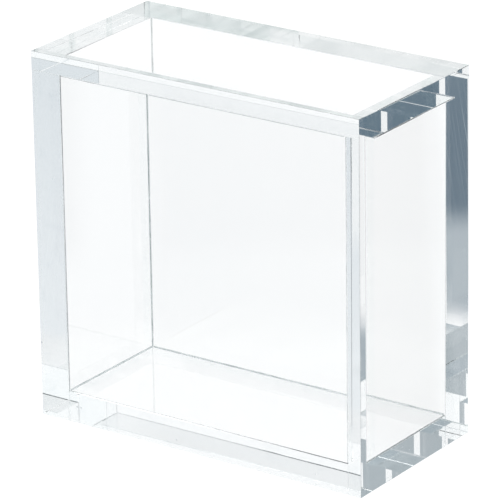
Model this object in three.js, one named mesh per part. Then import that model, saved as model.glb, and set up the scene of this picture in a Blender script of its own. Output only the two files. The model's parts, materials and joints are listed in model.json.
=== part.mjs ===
// Acrylic display cube: a closed six-sided block of clear cast acrylic sheet.
// Two full-size plates form the front and the back. Between them stand a left
// and a right wall and a floor, and the top plate lies dry on the two walls.
// Every joint but that one is cemented, and each cement layer is its own solid.
// Millimetres, +Z up, +X to the right of the front face, origin at the centre
// of the underside.

import * as THREE from "three";
import { ConvexGeometry } from "three/addons/geometries/ConvexGeometry.js";

// ---------------------------------------------------------------- dimensions
const WIDTH = 150; // outer size along X
const DEPTH = 75; // outer size along Y
const HEIGHT = 150; // outer size along Z
const SHEET = 10; // thickness of the floor and the top plate
const BACK = 10.2; // thickness of the back plate
const WALL = 9.5; // thickness of the front plate and of the left and right walls
const CEMENT = 0.15; // thickness of a cement layer
const EDGE = 0.25; // polished edge break on every panel

// ----------------------------------------------------------- derived places
const halfWidth = WIDTH / 2;
const halfDepth = DEPTH / 2;
const wallInner = halfWidth - WALL; // inner face of the left and right walls
const frontInner = -halfDepth + WALL; // inner face of the front plate
const backInner = halfDepth - BACK; // inner face of the back plate
const coreDepth = backInner - frontInner - 2 * CEMENT; // depth of the walls, floor and top
const coreY = (frontInner + backInner) / 2; // their middle
const wallHeight = HEIGHT - SHEET; // the walls stop under the top plate
const floorWidth = 2 * (wallInner - CEMENT); // the floor fits between the walls

// ---------------------------------------------------------------- materials
const acrylic = (name) => {
  const m = new THREE.MeshStandardMaterial({
    color: new THREE.Color(0.93, 0.97, 0.98),
    roughness: 0.04,
    metalness: 0,
    transparent: true,
    opacity: 0.35,
  });
  m.name = name;
  return m;
};
const cement = (name) => {
  const m = new THREE.MeshStandardMaterial({
    color: new THREE.Color(0.85, 0.89, 0.9),
    roughness: 0.25,
    metalness: 0,
    transparent: true,
    opacity: 0.6,
  });
  m.name = name;
  return m;
};

// ------------------------------------------------------------------- shapes
// A sheet of acrylic with all twelve edges broken by a small flat.
function sheetGeometry(x, y, z) {
  const half = [x / 2, y / 2, z / 2];
  const points = [];
  for (const sx of [-1, 1])
    for (const sy of [-1, 1])
      for (const sz of [-1, 1]) {
        const s = [sx, sy, sz];
        for (let flat = 0; flat < 3; flat++) {
          const p = half.map((h, axis) => s[axis] * (axis === flat ? h : h - EDGE));
          points.push(new THREE.Vector3(p[0], p[1], p[2]));
        }
      }
  return new ConvexGeometry(points);
}

// The rectangular ring of cement behind the front plate or before the back one.
function cementRingGeometry() {
  const outerX = halfWidth - EDGE;
  const innerX = wallInner + EDGE;
  const ring = new THREE.Shape();
  ring.moveTo(-outerX, EDGE);
  ring.lineTo(outerX, EDGE);
  ring.lineTo(outerX, HEIGHT - EDGE);
  ring.lineTo(-outerX, HEIGHT - EDGE);
  ring.closePath();
  const hole = new THREE.Path();
  hole.moveTo(-innerX, SHEET - EDGE);
  hole.lineTo(-innerX, wallHeight + EDGE);
  hole.lineTo(innerX, wallHeight + EDGE);
  hole.lineTo(innerX, SHEET - EDGE);
  hole.closePath();
  ring.holes.push(hole);
  const g = new THREE.ExtrudeGeometry(ring, { depth: CEMENT, bevelEnabled: false });
  g.rotateX(Math.PI / 2); // the outline stands in the XZ plane, extruded along -Y
  return g;
}

// The strip of cement at one end of the floor.
function cementStripGeometry() {
  return new THREE.BoxGeometry(CEMENT, coreDepth - 2 * EDGE, SHEET - 2 * EDGE);
}

// ----------------------------------------------------------------- assembly
const cube = new THREE.Group();
cube.name = "acrylic_display_cube";

function add(parent, name, geometry, material, x, y, z) {
  const mesh = new THREE.Mesh(geometry, material(name));
  mesh.name = name;
  mesh.position.set(x, y, z);
  parent.add(mesh);
  return mesh;
}

// Front and back plates cover the whole outline and the edges of all the rest.
const plates = new THREE.Group();
add(plates, "front_plate", sheetGeometry(WIDTH, WALL, HEIGHT), acrylic, 0, -(halfDepth - WALL / 2), HEIGHT / 2);
add(plates, "back_plate", sheetGeometry(WIDTH, BACK, HEIGHT), acrylic, 0, halfDepth - BACK / 2, HEIGHT / 2);

// The frame between them: two walls, the floor between the walls, the top over them.
const frame = new THREE.Group();
add(frame, "left_wall", sheetGeometry(WALL, coreDepth, wallHeight), acrylic, -(halfWidth - WALL / 2), coreY, wallHeight / 2);
add(frame, "right_wall", sheetGeometry(WALL, coreDepth, wallHeight), acrylic, halfWidth - WALL / 2, coreY, wallHeight / 2);
add(frame, "floor_plate", sheetGeometry(floorWidth, coreDepth, SHEET), acrylic, 0, coreY, SHEET / 2);
add(frame, "top_plate", sheetGeometry(WIDTH, coreDepth, SHEET), acrylic, 0, coreY, HEIGHT - SHEET / 2);

// Cement layers, between the flats of the panels that they join.
const bonds = new THREE.Group();
add(bonds, "front_cement_ring", cementRingGeometry(), cement, 0, frontInner + CEMENT, 0);
add(bonds, "back_cement_ring", cementRingGeometry(), cement, 0, backInner, 0);
add(bonds, "floor_left_cement", cementStripGeometry(), cement, -(wallInner - CEMENT / 2), coreY, SHEET / 2);
add(bonds, "floor_right_cement", cementStripGeometry(), cement, wallInner - CEMENT / 2, coreY, SHEET / 2);

cube.add(plates, frame, bonds);

export default cube;
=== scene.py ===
import json
import math

import bmesh
import bpy
from mathutils import Matrix, Vector

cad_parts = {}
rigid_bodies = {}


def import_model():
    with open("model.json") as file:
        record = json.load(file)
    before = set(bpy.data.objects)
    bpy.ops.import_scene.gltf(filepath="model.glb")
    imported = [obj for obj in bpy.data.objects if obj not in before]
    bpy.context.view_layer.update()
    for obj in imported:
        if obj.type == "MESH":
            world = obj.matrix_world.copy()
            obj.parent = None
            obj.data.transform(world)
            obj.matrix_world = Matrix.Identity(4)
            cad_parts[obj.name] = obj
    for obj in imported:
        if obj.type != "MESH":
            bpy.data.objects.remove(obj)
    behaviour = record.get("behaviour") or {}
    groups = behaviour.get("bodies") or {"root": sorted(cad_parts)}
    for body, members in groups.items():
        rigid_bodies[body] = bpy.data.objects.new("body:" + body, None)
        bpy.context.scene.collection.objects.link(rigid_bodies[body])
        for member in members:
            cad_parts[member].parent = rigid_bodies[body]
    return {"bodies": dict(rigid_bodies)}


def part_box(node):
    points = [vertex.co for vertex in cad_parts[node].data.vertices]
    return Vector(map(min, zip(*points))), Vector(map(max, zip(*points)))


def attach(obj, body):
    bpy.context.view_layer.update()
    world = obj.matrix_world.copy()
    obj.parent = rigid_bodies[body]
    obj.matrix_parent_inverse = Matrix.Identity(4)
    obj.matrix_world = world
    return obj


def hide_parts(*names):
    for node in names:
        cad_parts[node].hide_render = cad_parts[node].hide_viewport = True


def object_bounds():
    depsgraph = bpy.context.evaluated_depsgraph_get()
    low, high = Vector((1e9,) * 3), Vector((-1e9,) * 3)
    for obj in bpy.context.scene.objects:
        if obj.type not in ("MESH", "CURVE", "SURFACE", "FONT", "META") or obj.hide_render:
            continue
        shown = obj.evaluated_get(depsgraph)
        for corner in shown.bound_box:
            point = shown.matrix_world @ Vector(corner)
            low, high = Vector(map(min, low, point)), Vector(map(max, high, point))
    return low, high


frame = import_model()
cad_low, cad_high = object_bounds()
body = sorted(frame["bodies"])[0]

# ------------------------------------------------------------------ sizes
MM = 0.001
low, high = cad_low.copy(), cad_high.copy()
width, depth, height = high.x - low.x, high.y - low.y, high.z - low.z
front_lo, front_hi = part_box("front_plate")
back_lo, back_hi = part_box("back_plate")
left_lo, left_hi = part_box("left_wall")
right_lo, right_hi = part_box("right_wall")
floor_lo, floor_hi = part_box("floor_plate")
top_lo, top_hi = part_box("top_plate")
ring_lo, ring_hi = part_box("front_cement_ring")

ROUND = 0.17 * MM  # polished outer edges
BREAK = 0.25 * MM  # edge breaks that face the cavity and the dry joint
DRY = 0.03 * MM  # air between the loose faces of the top plate and the walls


# -------------------------------------------------------------- node helpers
def new_material(name):
    m = bpy.data.materials.new(name)
    m.use_nodes = True
    m.node_tree.nodes.clear()
    return m, m.node_tree


def add_node(nt, kind, **values):
    n = nt.nodes.new(kind)
    for key, value in values.items():
        setattr(n, key, value)
    return n


def math_node(nt, operation, a, b=None, clamp=False):
    n = add_node(nt, "ShaderNodeMath", operation=operation, use_clamp=clamp)
    for i, v in enumerate((a, b)):
        if v is None:
            continue
        if isinstance(v, (int, float)):
            n.inputs[i].default_value = v
        else:
            nt.links.new(v, n.inputs[i])
    return n.outputs[0]


def ramp(nt, source, a, b, to_a=0.0, to_b=1.0, smooth=True):
    n = add_node(nt, "ShaderNodeMapRange", clamp=True)
    n.interpolation_type = "SMOOTHSTEP" if smooth else "LINEAR"
    nt.links.new(source, n.inputs["Value"])
    n.inputs["From Min"].default_value = a
    n.inputs["From Max"].default_value = b
    n.inputs["To Min"].default_value = to_a
    n.inputs["To Max"].default_value = to_b
    return n.outputs["Result"]


def mix_color(nt, factor, a, b):
    n = add_node(nt, "ShaderNodeMix", data_type="RGBA")
    if isinstance(factor, (int, float)):
        n.inputs[0].default_value = factor
    else:
        nt.links.new(factor, n.inputs[0])
    for i, v in ((6, a), (7, b)):
        if isinstance(v, tuple):
            n.inputs[i].default_value = (*v, 1)
        else:
            nt.links.new(v, n.inputs[i])
    return n.outputs[2]


def noise(nt, coords, scale, detail=2.0, rough=0.5, stretch=None, distortion=0.0):
    source = coords
    if stretch is not None:
        m = add_node(nt, "ShaderNodeMapping")
        m.inputs["Scale"].default_value = stretch
        nt.links.new(coords, m.inputs["Vector"])
        source = m.outputs[0]
    n = add_node(nt, "ShaderNodeTexNoise")
    n.inputs["Scale"].default_value = scale
    n.inputs["Detail"].default_value = detail
    n.inputs["Roughness"].default_value = rough
    n.inputs["Distortion"].default_value = distortion
    nt.links.new(source, n.inputs["Vector"])
    return n.outputs["Fac"]


def gray(v):
    """Linear value of a display level from 0 to 255."""
    v = v / 255
    return v / 12.92 if v <= 0.04045 else ((v + 0.055) / 1.055) ** 2.4


def rgb(r, g, b, share=1.0):
    return (gray(r) / share, gray(g) / share, gray(b) / share)


# ---------------------------------------------------------------- materials
def acrylic_material(name, edge=False):
    """Clear cast acrylic. Faces are polished nearly perfectly, with hairline polish
    marks and faint handling haze; edges are flame polished, softer and a bit rougher."""
    m, nt = new_material(name)
    out = add_node(nt, "ShaderNodeOutputMaterial")
    bsdf = add_node(nt, "ShaderNodeBsdfPrincipled")
    nt.links.new(bsdf.outputs[0], out.inputs["Surface"])
    bsdf.inputs["Transmission Weight"].default_value = 1.0
    bsdf.inputs["IOR"].default_value = 1.49
    coords = add_node(nt, "ShaderNodeTexCoord").outputs["Object"]
    # tint varies a little with the sheet's casting
    cast = noise(nt, coords, 9.0, 1.0)
    tint = mix_color(nt, ramp(nt, cast, 0.35, 0.65), (0.990, 0.995, 0.996), (0.996, 0.999, 0.999))
    nt.links.new(tint, bsdf.inputs["Base Color"])
    # polish marks: long thin hairlines in two directions, and sparse haze spots
    lines_a = noise(nt, coords, 60.0, 3.0, 0.6, (1.0, 1.0, 34.0))
    lines_b = noise(nt, coords, 55.0, 3.0, 0.6, (30.0, 30.0, 1.0))
    hair = math_node(nt, "MAXIMUM", ramp(nt, lines_a, 0.70, 0.78), ramp(nt, lines_b, 0.71, 0.79))
    haze = ramp(nt, noise(nt, coords, 22.0, 4.0, 0.6), 0.62, 0.80)
    if edge:
        rough = math_node(nt, "ADD", math_node(nt, "MULTIPLY", hair, 0.10), math_node(nt, "MULTIPLY", haze, 0.08))
        rough = math_node(nt, "ADD", rough, 0.05)
    else:
        rough = math_node(nt, "ADD", math_node(nt, "MULTIPLY", hair, 0.028), math_node(nt, "MULTIPLY", haze, 0.012))
    nt.links.new(rough, bsdf.inputs["Roughness"])
    # bump: slow waves of the polished surface, and nicks on the edges
    wave = noise(nt, coords, 34.0 if edge else 15.0, 1.0)
    nicks = noise(nt, coords, 900.0, 2.0)
    height_ = math_node(nt, "ADD", wave, math_node(nt, "MULTIPLY", nicks, 0.15 if edge else 0.0))
    bump = add_node(nt, "ShaderNodeBump")
    bump.inputs["Strength"].default_value = 0.30 if edge else 0.035
    bump.inputs["Distance"].default_value = 0.0004
    nt.links.new(height_, bump.inputs["Height"])
    nt.links.new(bump.outputs[0], bsdf.inputs["Normal"])
    return m


def bond_material(name, tint):
    """The wetted face of a cemented joint: light passes it without bending. Fine wisps of trapped cement make it show."""
    m, nt = new_material(name)
    out = add_node(nt, "ShaderNodeOutputMaterial")
    clear = add_node(nt, "ShaderNodeBsdfTransparent")
    coords = add_node(nt, "ShaderNodeTexCoord").outputs["Object"]
    wisps = ramp(nt, noise(nt, coords, 120.0, 4.0, 0.62, None, 0.6), 0.60, 0.76)
    color = mix_color(nt, wisps, tint, tuple(c * 0.985 for c in tint))
    nt.links.new(color, clear.inputs[0])
    nt.links.new(clear.outputs[0], out.inputs["Surface"])
    return m


def cement_material(name):
    """Cured cement seen through its layer: clear, with tiny white bubbles."""
    m, nt = new_material(name)
    out = add_node(nt, "ShaderNodeOutputMaterial")
    clear = add_node(nt, "ShaderNodeBsdfTransparent")
    milk = add_node(nt, "ShaderNodeBsdfPrincipled")
    milk.inputs["Roughness"].default_value = 0.3
    milk.inputs["Base Color"].default_value = (0.86, 0.9, 0.93, 1)
    coords = add_node(nt, "ShaderNodeTexCoord").outputs["Object"]
    cells = add_node(nt, "ShaderNodeTexVoronoi", feature="F1")
    cells.inputs["Scale"].default_value = 190.0
    nt.links.new(coords, cells.inputs["Vector"])
    bubble = ramp(nt, cells.outputs["Distance"], 0.05, 0.09, 1.0, 0.0)
    patch = ramp(nt, noise(nt, coords, 26.0, 2.0), 0.60, 0.68)
    amount = math_node(nt, "MULTIPLY", math_node(nt, "MULTIPLY", bubble, patch), 0.5)
    wisps = ramp(nt, noise(nt, coords, 150.0, 4.0, 0.6, None, 0.8), 0.50, 0.78)
    amount = math_node(nt, "ADD", amount, math_node(nt, "MULTIPLY", wisps, 0.02), clamp=True)
    color = mix_color(nt, wisps, (0.994, 0.997, 0.997), (0.980, 0.986, 0.988))
    nt.links.new(color, clear.inputs[0])
    mix = add_node(nt, "ShaderNodeMixShader")
    nt.links.new(amount, mix.inputs[0])
    nt.links.new(clear.outputs[0], mix.inputs[1])
    nt.links.new(milk.outputs[0], mix.inputs[2])
    nt.links.new(mix.outputs[0], out.inputs["Surface"])
    return m


def bead_material(name):
    """The fillet of cement that creeps out of a joint: clear, slightly rippled; its grey tint is painted shade standing
    in for the dark surroundings the fillet refracts.
    """
    m, nt = new_material(name)
    out = add_node(nt, "ShaderNodeOutputMaterial")
    bsdf = add_node(nt, "ShaderNodeBsdfPrincipled")
    nt.links.new(bsdf.outputs[0], out.inputs["Surface"])
    bsdf.inputs["Transmission Weight"].default_value = 1.0
    bsdf.inputs["IOR"].default_value = 1.46
    coords = add_node(nt, "ShaderNodeTexCoord").outputs["Object"]
    flow = noise(nt, coords, 160.0, 3.0, 0.6)
    # painted shade: grey transmission tint that draws the dark line along each bond
    nt.links.new(mix_color(nt, ramp(nt, flow, 0.35, 0.65), (0.58, 0.62, 0.62), (0.76, 0.79, 0.79)), bsdf.inputs["Base Color"])
    nt.links.new(ramp(nt, flow, 0.30, 0.75, 0.12, 0.30), bsdf.inputs["Roughness"])
    bump = add_node(nt, "ShaderNodeBump")
    bump.inputs["Strength"].default_value = 0.35
    bump.inputs["Distance"].default_value = 0.0002
    nt.links.new(flow, bump.inputs["Height"])
    nt.links.new(bump.outputs[0], bsdf.inputs["Normal"])
    return m


acrylic = acrylic_material("acrylic_polished_face")
acrylic_edge = acrylic_material("acrylic_polished_edge", edge=True)
bond = bond_material("acrylic_cemented_face", (0.996, 0.998, 0.998))
cement = cement_material("cement_layer")
cement_rim = acrylic_material("cement_polished_rim", edge=True)
bead = bead_material("cement_fillet")


# ------------------------------------------------------------------- shapes
def on(value, target):
    return abs(value - target) < 1e-7


def picked(bm, tests):
    """Edges whose two ends both lie on every plane of one of the tests."""
    found = []
    for e in bm.edges:
        for planes in tests:
            if all(all(on(v.co[axis], at) for v in e.verts) for axis, at in planes):
                found.append(e)
                break
    return found


def panel(name, node, lo, hi, rounds, breaks, cuts, bonded, segments=3):
    """A sheet of acrylic from corner lo to corner hi. rounds and breaks list edges, each
    as two planes; cuts split a face along a line; bonded says which faces are joints."""
    bm = bmesh.new()
    bmesh.ops.create_cube(bm, size=1.0)
    for v in bm.verts:
        for axis in range(3):
            v.co[axis] = (hi if v.co[axis] > 0 else lo)[axis]
    marks = bm.faces.layers.int.new("edge_break")
    edges = picked(bm, rounds)
    if edges:
        made = bmesh.ops.bevel(bm, geom=edges, offset=ROUND, offset_type="OFFSET", segments=segments, profile=0.5, affect="EDGES", clamp_overlap=True)
        for f in made["faces"]:
            f[marks] = 1
    edges = picked(bm, breaks)
    if edges:
        made = bmesh.ops.bevel(bm, geom=edges, offset=BREAK, offset_type="OFFSET", segments=1, profile=0.5, affect="EDGES", clamp_overlap=True)
        for f in made["faces"]:
            f[marks] = 1
    for face_axis, face_at, axis, at in cuts:
        faces = [f for f in bm.faces if all(on(v.co[face_axis], face_at) for v in f.verts)]
        geom = list({e for f in faces for e in f.edges} | set(faces) | {v for f in faces for v in f.verts})
        normal = Vector((0, 0, 0))
        normal[axis] = 1
        spot = Vector((0, 0, 0))
        spot[axis] = at
        bmesh.ops.bisect_plane(bm, geom=geom, plane_co=spot, plane_no=normal, dist=1e-8)
    bmesh.ops.recalc_face_normals(bm, faces=bm.faces)
    for f in bm.faces:
        centre, normal = f.calc_center_median(), f.normal
        if f[marks] == 1:
            f.material_index, f.smooth = 1, True
        elif any(test(centre, normal) for test in bonded):
            f.material_index = 2
        else:
            f.material_index = 0
    mesh = bpy.data.meshes.new(name)
    bm.faces.layers.int.remove(marks)
    bm.to_mesh(mesh)
    bm.free()
    for m in (acrylic, acrylic_edge, bond):
        mesh.materials.append(m)
    return finished(name, mesh, node)


def finished(name, mesh, node):
    piece = bpy.data.objects.new(name, mesh)
    bpy.context.scene.collection.objects.link(piece)
    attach(piece, body)
    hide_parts(node)
    return piece


def faces_along(axis, sign):
    return lambda c, n: n[axis] * sign > 0.99


X, Y, Z = 0, 1, 2
x0, x1 = low.x, high.x
y0, y1 = low.y, high.y
z0, z1 = low.z, high.z
xi = right_lo.x  # inner face of the right wall, the left one mirrors it
yf, yb = front_hi.y, back_lo.y  # inner faces of the front and back plates
window = (left_hi.x - BREAK, right_lo.x + BREAK, floor_hi.z - BREAK, top_lo.z + BREAK)


def plate(name, node, lo, hi, outer, inner, sign):
    def joint(c, n):
        clear = window[0] < c.x < window[1] and window[2] < c.z < window[3]
        return n.y * sign > 0.99 and not clear

    rounds = [((X, x), (Y, outer)) for x in (x0, x1)]
    rounds += [((Z, z), (Y, outer)) for z in (z0, z1)]
    rounds += [((X, x), (Z, z)) for x in (x0, x1) for z in (z0, z1)]
    cuts = [(Y, inner, X, window[0]), (Y, inner, X, window[1]), (Y, inner, Z, window[2]), (Y, inner, Z, window[3])]
    return panel(name, node, lo, hi, rounds, [], cuts, [joint])


plate("front_panel", "front_plate", front_lo, front_hi, y0, yf, 1)
plate("back_panel", "back_plate", back_lo, back_hi, y1, yb, -1)


def wall(name, node, lo, hi, outer, inner, sign):
    hi = Vector((hi.x, hi.y, hi.z - DRY))
    foot = floor_hi.z - BREAK

    def floor_joint(c, n):
        return n.x * sign > 0.99 and c.z < foot

    rounds = [((X, outer), (Z, lo.z))]
    breaks = [((X, inner), (Y, lo.y)), ((X, inner), (Y, hi.y)), ((X, inner), (Z, hi.z)), ((X, outer), (Z, hi.z))]
    cuts = [(X, inner, Z, foot)]
    return panel(name, node, lo, hi, rounds, breaks, cuts, [faces_along(Y, 1), faces_along(Y, -1), floor_joint])


wall("left_panel", "left_wall", left_lo, left_hi, x0, left_hi.x, 1)
wall("right_panel", "right_wall", right_lo, right_hi, x1, right_lo.x, -1)

panel(
    "floor_panel", "floor_plate", floor_lo, floor_hi, [],
    [((Y, floor_lo.y), (Z, floor_hi.z)), ((Y, floor_hi.y), (Z, floor_hi.z)), ((X, floor_lo.x), (Z, floor_hi.z)), ((X, floor_hi.x), (Z, floor_hi.z))],
    [], [faces_along(Y, 1), faces_along(Y, -1), faces_along(X, 1), faces_along(X, -1)],
)
panel(
    "top_panel", "top_plate", top_lo, top_hi,
    [((X, x0), (Z, z1)), ((X, x1), (Z, z1))],
    [((Y, top_lo.y), (Z, top_lo.z)), ((Y, top_hi.y), (Z, top_lo.z)), ((X, x0), (Z, top_lo.z)), ((X, x1), (Z, top_lo.z))],
    [], [faces_along(Y, 1), faces_along(Y, -1)],
)


FINE, FULL = 0.20 * MM, 0.52 * MM  # legs of the cement fillets, at the front and right and elsewhere
CLEAR = 0.01 * MM  # the fillets stand this far off the sheets


def fillet(bm, a, b, u, v, leg):
    """A concave fillet along the inner corner from a to b; its legs lie along u and v."""
    a, b, u, v = Vector(a), Vector(b), Vector(u), Vector(v)
    section = [(CLEAR, CLEAR)]
    r = leg - CLEAR
    for i in range(6):
        t = -math.pi / 2 - i * math.pi / 10
        section.append((leg + r * math.cos(t), leg + r * math.sin(t)))
    rows = []
    steps = 24
    for k in range(steps + 1):
        spot = a.lerp(b, k / steps)
        # the fillet swells and thins a little along its length
        swell = 1 + 0.10 * math.sin(2.3 * k + 40 * (a.x + a.z)) + 0.06 * math.sin(5.1 * k)
        rows.append([bm.verts.new(spot + u * (CLEAR + (p - CLEAR) * swell) + v * (CLEAR + (q - CLEAR) * swell)) for p, q in section])
    made = []
    n = len(section)
    for r0, r1 in zip(rows, rows[1:]):
        for i in range(n):
            j = (i + 1) % n
            made.append(bm.faces.new((r0[i], r0[j], r1[j], r1[i])))
    made.append(bm.faces.new(rows[0]))
    made.append(bm.faces.new(rows[-1]))
    for f in made:
        f.material_index = 2


def cement_ring(name, node, ya, yb_, face, inward, leg):
    """A thin closed ring: its outside follows the polished outline, its window the cavity."""
    outer, arcs = [], []
    corners = ((x0, z0, 1, 1), (x1, z0, -1, 1), (x1, z1, -1, -1), (x0, z1, 1, -1))
    starts = (math.pi, 1.5 * math.pi, 0.0, 0.5 * math.pi)
    for (cx, cz, sx, sz), start in zip(corners, starts):
        ox, oz = cx + sx * ROUND, cz + sz * ROUND
        arc = []
        for i in range(4):
            a = start + i * math.pi / 6
            arc.append((ox + ROUND * math.cos(a), oz + ROUND * math.sin(a)))
        arcs.append(arc)
    inner = [(window[0], window[2]), (window[1], window[2]), (window[1], window[3]), (window[0], window[3])]
    bm = bmesh.new()
    layers = []
    for y in (ya, yb_):
        layers.append((
            [[bm.verts.new((x, y, z)) for x, z in arc] for arc in arcs],
            [bm.verts.new((x, y, z)) for x, z in inner],
        ))
    for arc_verts, inner_verts in layers:
        for i in range(4):
            j = (i + 1) % 4
            bm.faces.new((arc_verts[i][-1], arc_verts[j][0], inner_verts[j], inner_verts[i]))
            bm.faces.new((*arc_verts[i], inner_verts[i]))
    rims = []
    loops = [[v for arc in layer[0] for v in arc] for layer in layers]
    for i in range(len(loops[0])):
        j = (i + 1) % len(loops[0])
        rims.append(bm.faces.new((loops[0][i], loops[0][j], loops[1][j], loops[1][i])))
    for i in range(4):
        j = (i + 1) % 4
        rims.append(bm.faces.new((layers[0][1][i], layers[0][1][j], layers[1][1][j], layers[1][1][i])))
    for f in rims:
        f.material_index = 1
    u = (0, inward, 0)
    xl, xr, zf, zt = left_hi.x, right_lo.x, floor_hi.z, top_lo.z
    far = 1.3 * FULL
    fillet(bm, (xl, face, zf + CLEAR), (xl, face, zt - CLEAR), u, (1, 0, 0), leg)
    fillet(bm, (xr, face, zf + CLEAR), (xr, face, zt - CLEAR), u, (-1, 0, 0), FINE)
    fillet(bm, (xl + far, face, zf), (xr - far, face, zf), u, (0, 0, 1), leg)
    fillet(bm, (xl + far, face, zt), (xr - far, face, zt), u, (0, 0, -1), FINE)
    bmesh.ops.recalc_face_normals(bm, faces=bm.faces)
    mesh = bpy.data.meshes.new(name)
    bm.to_mesh(mesh)
    bm.free()
    for m in (cement, cement_rim, bead):
        mesh.materials.append(m)
    return finished(name, mesh, node)


cement_ring("front_cement", "front_cement_ring", yf, left_lo.y, yf, 1, FINE)
cement_ring("back_cement", "back_cement_ring", left_hi.y, yb, yb, -1, FULL)


def cement_strip(name, node, xa, xb, face, inward):
    bm = bmesh.new()
    bmesh.ops.create_cube(bm, size=1.0)
    lo = Vector((xa, floor_lo.y, floor_lo.z))
    hi = Vector((xb, floor_hi.y, floor_hi.z - BREAK))
    for v in bm.verts:
        for axis in range(3):
            v.co[axis] = (hi if v.co[axis] > 0 else lo)[axis]
    bmesh.ops.subdivide_edges(bm, edges=[e for e in bm.edges if abs(e.verts[0].co.y - e.verts[1].co.y) > 1e-3], cuts=11)
    for f in bm.faces:
        f.material_index = 0 if abs(f.normal.x) > 0.5 or abs(f.normal.y) > 0.5 else 1
    far = 1.3 * FULL
    fillet(bm, (face, yf + far, floor_hi.z), (face, yb - far, floor_hi.z), (inward, 0, 0), (0, 0, 1), FULL)
    bmesh.ops.recalc_face_normals(bm, faces=bm.faces)
    mesh = bpy.data.meshes.new(name)
    bm.to_mesh(mesh)
    bm.free()
    for m in (cement, cement_rim, bead):
        mesh.materials.append(m)
    return finished(name, mesh, node)


cement_strip("floor_cement_left", "floor_left_cement", left_hi.x, floor_lo.x, left_hi.x, 1)
cement_strip("floor_cement_right", "floor_right_cement", floor_hi.x, right_lo.x, right_lo.x, -1)

# -------------------------------------------------------------------- stage
WHITE = 1.08  # the studio's white, a little over the display's


def reflected(nt):
    """1 for light that has been turned by a reflection inside or on the acrylic."""
    path = add_node(nt, "ShaderNodeLightPath")
    return math_node(nt, "GREATER_THAN", path.outputs["Glossy Depth"], 0.5)


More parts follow.
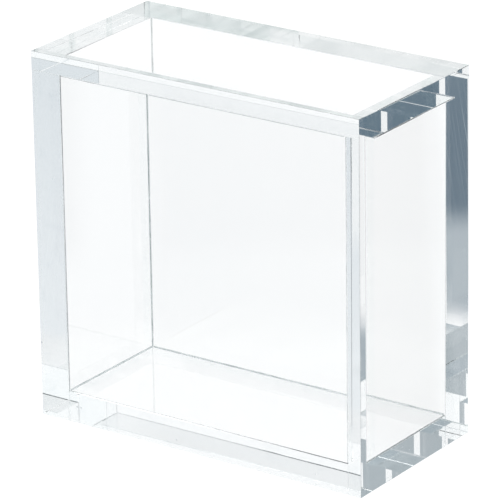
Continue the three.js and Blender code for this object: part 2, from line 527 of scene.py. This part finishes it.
def stage_floor():
    bm = bmesh.new()
    bmesh.ops.create_circle(bm, cap_ends=True, cap_tris=False, segments=96, radius=6.0)
    mesh = bpy.data.meshes.new("studio_floor")
    bm.to_mesh(mesh)
    bm.free()
    o = bpy.data.objects.new("studio_floor", mesh)
    o.location.z = -0.0002
    bpy.context.scene.collection.objects.link(o)
    # plain pale floor, which also carries painted reflections for reflected rays
    m, nt = new_material("studio_floor_pale_painted_reflection")
    out = add_node(nt, "ShaderNodeOutputMaterial")
    place = add_node(nt, "ShaderNodeNewGeometry").outputs["Position"]
    split = add_node(nt, "ShaderNodeSeparateXYZ")
    nt.links.new(place, split.inputs[0])
    x, y = split.outputs[0], split.outputs[1]
    # pale floor, seen directly and straight through the acrylic
    pale = add_node(nt, "ShaderNodeEmission")
    pale.inputs[0].default_value = (1.0, 1.0, 1.0, 1)
    pale.inputs[1].default_value = WHITE - 0.05
    matt = add_node(nt, "ShaderNodeBsdfDiffuse")
    matt.inputs[0].default_value = (0.05, 0.05, 0.05, 1)
    both = add_node(nt, "ShaderNodeAddShader")
    nt.links.new(pale.outputs[0], both.inputs[0])
    nt.links.new(matt.outputs[0], both.inputs[1])
    # painted reflection: emission that only the inner reflections see, grey near the front left, dark beyond
    along = math_node(nt, "ADD", math_node(nt, "MULTIPLY", x, -0.576), math_node(nt, "MULTIPLY", y, -0.817))
    across = math_node(nt, "ADD", math_node(nt, "MULTIPLY", x, 0.817), math_node(nt, "MULTIPLY", y, -0.576))
    dark = ramp(nt, along, 0.128, 0.172)
    deep = mix_color(nt, ramp(nt, along, 0.26, 0.42), rgb(72, 96, 114), rgb(92, 114, 130))
    # painted reflection: fine light upright streaks, one for each scratch along the back plate
    lane = math_node(nt, "SUBTRACT", y, math_node(nt, "MULTIPLY", x, 1.43))
    streak = add_node(nt, "ShaderNodeTexNoise", noise_dimensions="1D")
    streak.inputs["Scale"].default_value = 900.0
    streak.inputs["Detail"].default_value = 3.0
    nt.links.new(lane, streak.inputs["W"])
    lines = math_node(nt, "MULTIPLY", ramp(nt, streak.outputs["Fac"], 0.52, 0.72), ramp(nt, noise(nt, place, 14.0, 2.0), 0.35, 0.6, 0.10, 0.30))
    deep = mix_color(nt, lines, deep, rgb(190, 205, 212))
    near = mix_color(nt, dark, rgb(170, 180, 187), deep)
    ahead = mix_color(nt, ramp(nt, across, 0.10, 0.30), near, rgb(186, 195, 195))
    # painted reflection behind it: white close by, cool grey to the right and further away
    beyond = math_node(nt, "SUBTRACT", y, y1)
    cool = mix_color(nt, ramp(nt, beyond, 0.06, 0.34, smooth=False), rgb(241, 244, 247), rgb(229, 234, 238))
    cool = mix_color(nt, ramp(nt, beyond, 0.018, 0.034), rgb(246, 247, 248), cool)
    # painted reflection: what the back and the right face throw off is greyer than what the left band shows
    from_left = math_node(nt, "SUBTRACT", x, math_node(nt, "MULTIPLY", beyond, 0.76))
    from_right = math_node(nt, "SUBTRACT", x, math_node(nt, "MULTIPLY", beyond, 0.665))
    off_left = math_node(nt, "MULTIPLY", ramp(nt, from_left, -0.034, -0.018), ramp(nt, from_right, 0.050, 0.060, 1.0, 0.0))
    off_left = math_node(nt, "MULTIPLY", off_left, ramp(nt, beyond, 0.05, 0.10))
    off_right = ramp(nt, from_right, 0.077, 0.084)
    cool = mix_color(nt, math_node(nt, "MAXIMUM", off_left, off_right), cool, rgb(150, 154, 156))
    behind = mix_color(nt, ramp(nt, x, -0.075, -0.045), rgb(252, 253, 254), cool)
    seen = mix_color(nt, ramp(nt, y, 0.0, 0.03), ahead, behind)
    # painted reflection straight under the case, seen down through the standing plates, with painted shade on its front
    # part
    patch = ramp(nt, noise(nt, place, 55.0, 2.0, 0.5, (1.0, 0.35, 1.0)), 0.38, 0.62)
    under = mix_color(nt, patch, rgb(224, 229, 229), rgb(238, 241, 241))
    under = mix_color(nt, ramp(nt, y, 0.016, 0.022, 1.0, 0.0), under, mix_color(nt, patch, rgb(190, 201, 200), rgb(222, 230, 229)))
    inside = math_node(nt, "MULTIPLY", ramp(nt, math_node(nt, "ABSOLUTE", x), 0.0752, 0.0758, 1.0, 0.0), ramp(nt, math_node(nt, "ABSOLUTE", y), 0.0377, 0.0383, 1.0, 0.0))
    seen = mix_color(nt, inside, seen, under)
    # painted reflection: rays that have been reflected get the pattern above as emission instead of the plain pale
    # floor
    painted_reflection = add_node(nt, "ShaderNodeEmission")
    nt.links.new(seen, painted_reflection.inputs[0])
    mix = add_node(nt, "ShaderNodeMixShader")
    nt.links.new(reflected(nt), mix.inputs[0])
    nt.links.new(both.outputs[0], mix.inputs[1])
    nt.links.new(painted_reflection.outputs[0], mix.inputs[2])
    nt.links.new(mix.outputs[0], out.inputs["Surface"])
    m.cycles.emission_sampling = "NONE"
    mesh.materials.append(m)


stage_floor()

world = bpy.data.worlds.new("studio")
bpy.context.scene.world = world
world.use_nodes = True
nt = world.node_tree
background = nt.nodes["Background"]
# painted reflection: reflected rays see grey toward the front and near-white toward the back, all other rays see the
# plain studio white
coords = add_node(nt, "ShaderNodeTexCoord").outputs["Generated"]
split = add_node(nt, "ShaderNodeSeparateXYZ")
nt.links.new(coords, split.inputs[0])
right_side = ramp(nt, split.outputs[0], -0.1, 0.1)
back_side = ramp(nt, split.outputs[1], -0.1, 0.1)
ahead = mix_color(nt, right_side, rgb(176, 184, 189), rgb(198, 204, 208))
behind = mix_color(nt, right_side, (1.05, 1.05, 1.06), (1.05, 1.06, 1.07))
seen = mix_color(nt, back_side, ahead, behind)
nt.links.new(mix_color(nt, reflected(nt), (WHITE, WHITE, WHITE), seen), background.inputs[0])
background.inputs[1].default_value = 1.0

softbox = bpy.data.lights.new("softbox", "AREA")
softbox.shape, softbox.size, softbox.size_y, softbox.energy = "RECTANGLE", 1.2, 0.8, 6.0
lamp = bpy.data.objects.new("softbox", softbox)
lamp.location = (-0.5, 0.3, 1.3)
lamp.rotation_euler = (Vector((0, 0, 0.07)) - lamp.location).to_track_quat("-Z", "Y").to_euler()
bpy.context.scene.collection.objects.link(lamp)

# ------------------------------------------------------------------- camera
focal_px = 4340.3
azimuth, elevation, roll = 0.6145, 0.3614, -0.0151
spot = Vector((5.9983, -8.5067, 4.416)) * 0.15
back = Vector((math.sin(azimuth) * math.cos(elevation), -math.cos(azimuth) * math.cos(elevation), math.sin(elevation)))
side = (-back).cross(Vector((0, 0, 1))).normalized()
up = side.cross(-back)
side_r = side * math.cos(roll) + up * math.sin(roll)
up_r = -side * math.sin(roll) + up * math.cos(roll)
camera = bpy.data.objects.new("camera", bpy.data.cameras.new("camera"))
bpy.context.scene.collection.objects.link(camera)
camera.matrix_world = Matrix((
    (side_r.x, up_r.x, back.x, spot.x),
    (side_r.y, up_r.y, back.y, spot.y),
    (side_r.z, up_r.z, back.z, spot.z),
    (0, 0, 0, 1),
))
camera.data.sensor_width = 36
camera.data.lens = focal_px * 36 / 500
camera.data.clip_start, camera.data.clip_end = 0.01, 100
bpy.context.scene.camera = camera

scene = bpy.context.scene
scene.view_settings.view_transform = "Standard"
scene.cycles.max_bounces = 48
scene.cycles.transmission_bounces = 48
scene.cycles.glossy_bounces = 48
scene.cycles.diffuse_bounces = 3
scene.cycles.transparent_max_bounces = 64
scene.cycles.caustics_reflective = True
scene.cycles.caustics_refractive = True
scene.cycles.blur_glossy = 0.0
scene.cycles.sample_clamp_indirect = 8.0
